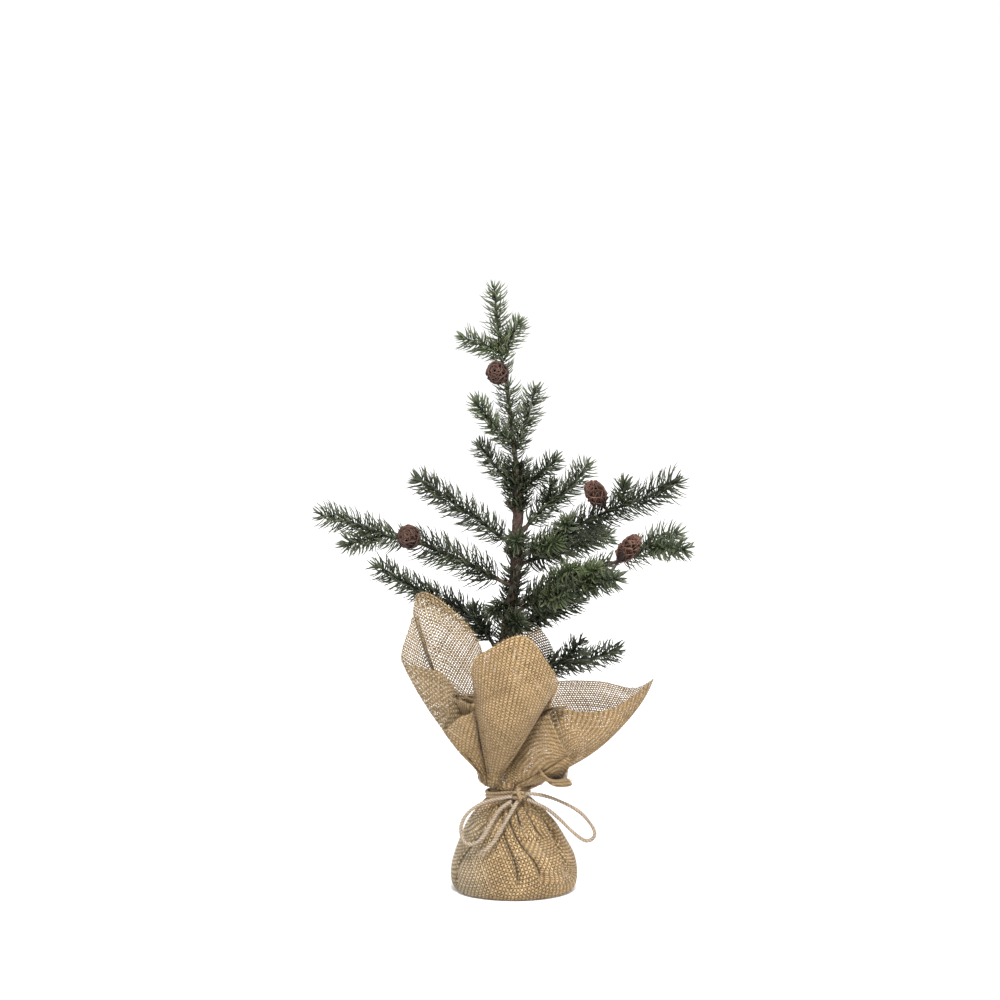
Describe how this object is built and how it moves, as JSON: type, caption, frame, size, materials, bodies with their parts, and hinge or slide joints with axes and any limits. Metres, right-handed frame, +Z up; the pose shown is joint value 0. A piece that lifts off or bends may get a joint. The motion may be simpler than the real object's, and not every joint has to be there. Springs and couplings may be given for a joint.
{
  "type": "artificial tabletop tree",
  "caption": "Small artificial conifer with bendable wire branches and cones, on a weighted base wrapped in burlap and tied with a twine bow.",
  "frame": {"origin": "centre of the flat underside of the wrapped base, on the surface it stands on", "axes": "+Z up along the trunk, -Y towards the front with the bow, +X to the right seen from the front"},
  "size_m": [0.3037, 0.1543, 0.4989],
  "materials": {
    "burlap": "open plain-weave jute burlap, matt",
    "twine": "twisted jute twine, hairy",
    "needle": "moulded polyethylene needles, satin, darker near the stem",
    "bark": "rough wrapped bark",
    "wire_wrap": "steel wire in brown paper tape",
    "steel": "plain drawn rod",
    "cement": "cast, rough",
    "pot_plastic": "black moulded plastic",
    "cone_scale": "dry natural cone scales"
  },
  "bodies": {
    "base": {"pot": "pot_plastic", "cement_weight": "cement", "trunk_core": "steel", "trunk_bark": "bark", "burlap_wrap": "burlap", "twine_band": "twine", "twine_knot": "twine", "twine_loop_left": "twine", "twine_loop_right": "twine", "twine_tail": "twine", "sprig_trunk_collar": "needle", "sprig_trunk_left": "needle", "sprig_trunk_right": "needle", "sprig_trunk_front_upper": "needle", "sprig_trunk_front_lower": "needle", "sprig_trunk_front_dark": "needle"},
    "branch_left_upper": {"wire_left_upper": "wire_wrap", "sprig_left_upper": "needle"},
    "branch_left_middle": {"wire_left_middle": "wire_wrap", "sprig_left_middle_inner": "needle", "sprig_left_middle_tip": "needle", "cone_left_middle": "cone_scale"},
    "branch_left_lower": {"wire_left_lower": "wire_wrap", "sprig_left_lower_inner": "needle", "sprig_left_lower_tip": "needle", "sprig_left_lower_side": "needle"},
    "branch_right_top": {"wire_right_top": "wire_wrap", "sprig_right_top": "needle"},
    "branch_right_upper": {"wire_right_upper": "wire_wrap", "sprig_right_upper_inner": "needle", "sprig_right_upper_tip": "needle", "sprig_right_upper_front": "needle", "cone_right_upper": "cone_scale"},
    "branch_right_inner": {"wire_right_inner": "wire_wrap", "sprig_right_inner": "needle"},
    "branch_right_middle": {"wire_right_middle": "wire_wrap", "sprig_right_middle_inner": "needle", "sprig_right_middle_tip": "needle", "cone_right_middle": "cone_scale"},
    "branch_right_front": {"wire_right_front": "wire_wrap", "sprig_right_front_inner": "needle", "sprig_right_front_tip": "needle"},
    "branch_right_lower": {"wire_right_lower": "wire_wrap", "sprig_right_lower": "needle"},
    "branch_right_bottom": {"wire_right_bottom": "wire_wrap", "sprig_right_bottom": "needle"},
    "leader": {"wire_leader": "wire_wrap", "sprig_leader_lower": "needle", "sprig_leader_tip": "needle", "sprig_leader_left": "needle", "sprig_leader_right": "needle", "cone_leader": "cone_scale"}
  },
  "joints": [
    {"name": "bend_left_upper", "type": "hinge", "parent": "base", "child": "branch_left_upper", "pos_m": [-0.0038, 0.002, 0.285], "axis": [0.3356, 0.942, 0], "range_deg": [-15, 25]},
    {"name": "bend_left_middle", "type": "hinge", "parent": "base", "child": "branch_left_middle", "pos_m": [-0.0056, -0.0015, 0.252], "axis": [-0.1842, 0.9829, 0], "range_deg": [-15, 20]},
    {"name": "bend_left_lower", "type": "hinge", "parent": "base", "child": "branch_left_lower", "pos_m": [-0.0118, 0.005, 0.191], "axis": [0.5265, 0.8502, 0], "range_deg": [-6, 15]},
    {"name": "bend_right_top", "type": "hinge", "parent": "base", "child": "branch_right_top", "pos_m": [0.0096, 0.0026, 0.2965], "axis": [0.3472, -0.9378, 0], "range_deg": [-15, 15]},
    {"name": "bend_right_upper", "type": "hinge", "parent": "base", "child": "branch_right_upper", "pos_m": [0.0088, -0.0005, 0.275], "axis": [-0.0717, -0.9974, 0], "range_deg": [-10, 20]},
    {"name": "bend_right_inner", "type": "hinge", "parent": "base", "child": "branch_right_inner", "pos_m": [0.0072, 0.0046, 0.2675], "axis": [0.6146, -0.7888, 0], "range_deg": [-10, 15]},
    {"name": "bend_right_middle", "type": "hinge", "parent": "base", "child": "branch_right_middle", "pos_m": [0.0056, -0.003, 0.2365], "axis": [-0.4033, -0.9151, 0], "range_deg": [-10, 15]},
    {"name": "bend_right_front", "type": "hinge", "parent": "base", "child": "branch_right_front", "pos_m": [0.0031, -0.0048, 0.229], "axis": [-0.6575, -0.7534, 0], "range_deg": [-10, 10]},
    {"name": "bend_right_lower", "type": "hinge", "parent": "base", "child": "branch_right_lower", "pos_m": [0.0014, 0.0016, 0.215], "axis": [0.1839, -0.983, 0], "range_deg": [-10, 15]},
    {"name": "bend_right_bottom", "type": "hinge", "parent": "base", "child": "branch_right_bottom", "pos_m": [0.003, 0.003, 0.1635], "axis": [0.4665, -0.8845, 0], "range_deg": [-4, 15]},
    {"name": "bend_leader", "type": "hinge", "parent": "base", "child": "leader", "pos_m": [0.0028, 0, 0.35], "axis": [0, 1, 0], "range_deg": [-12, 12]}
  ]
}
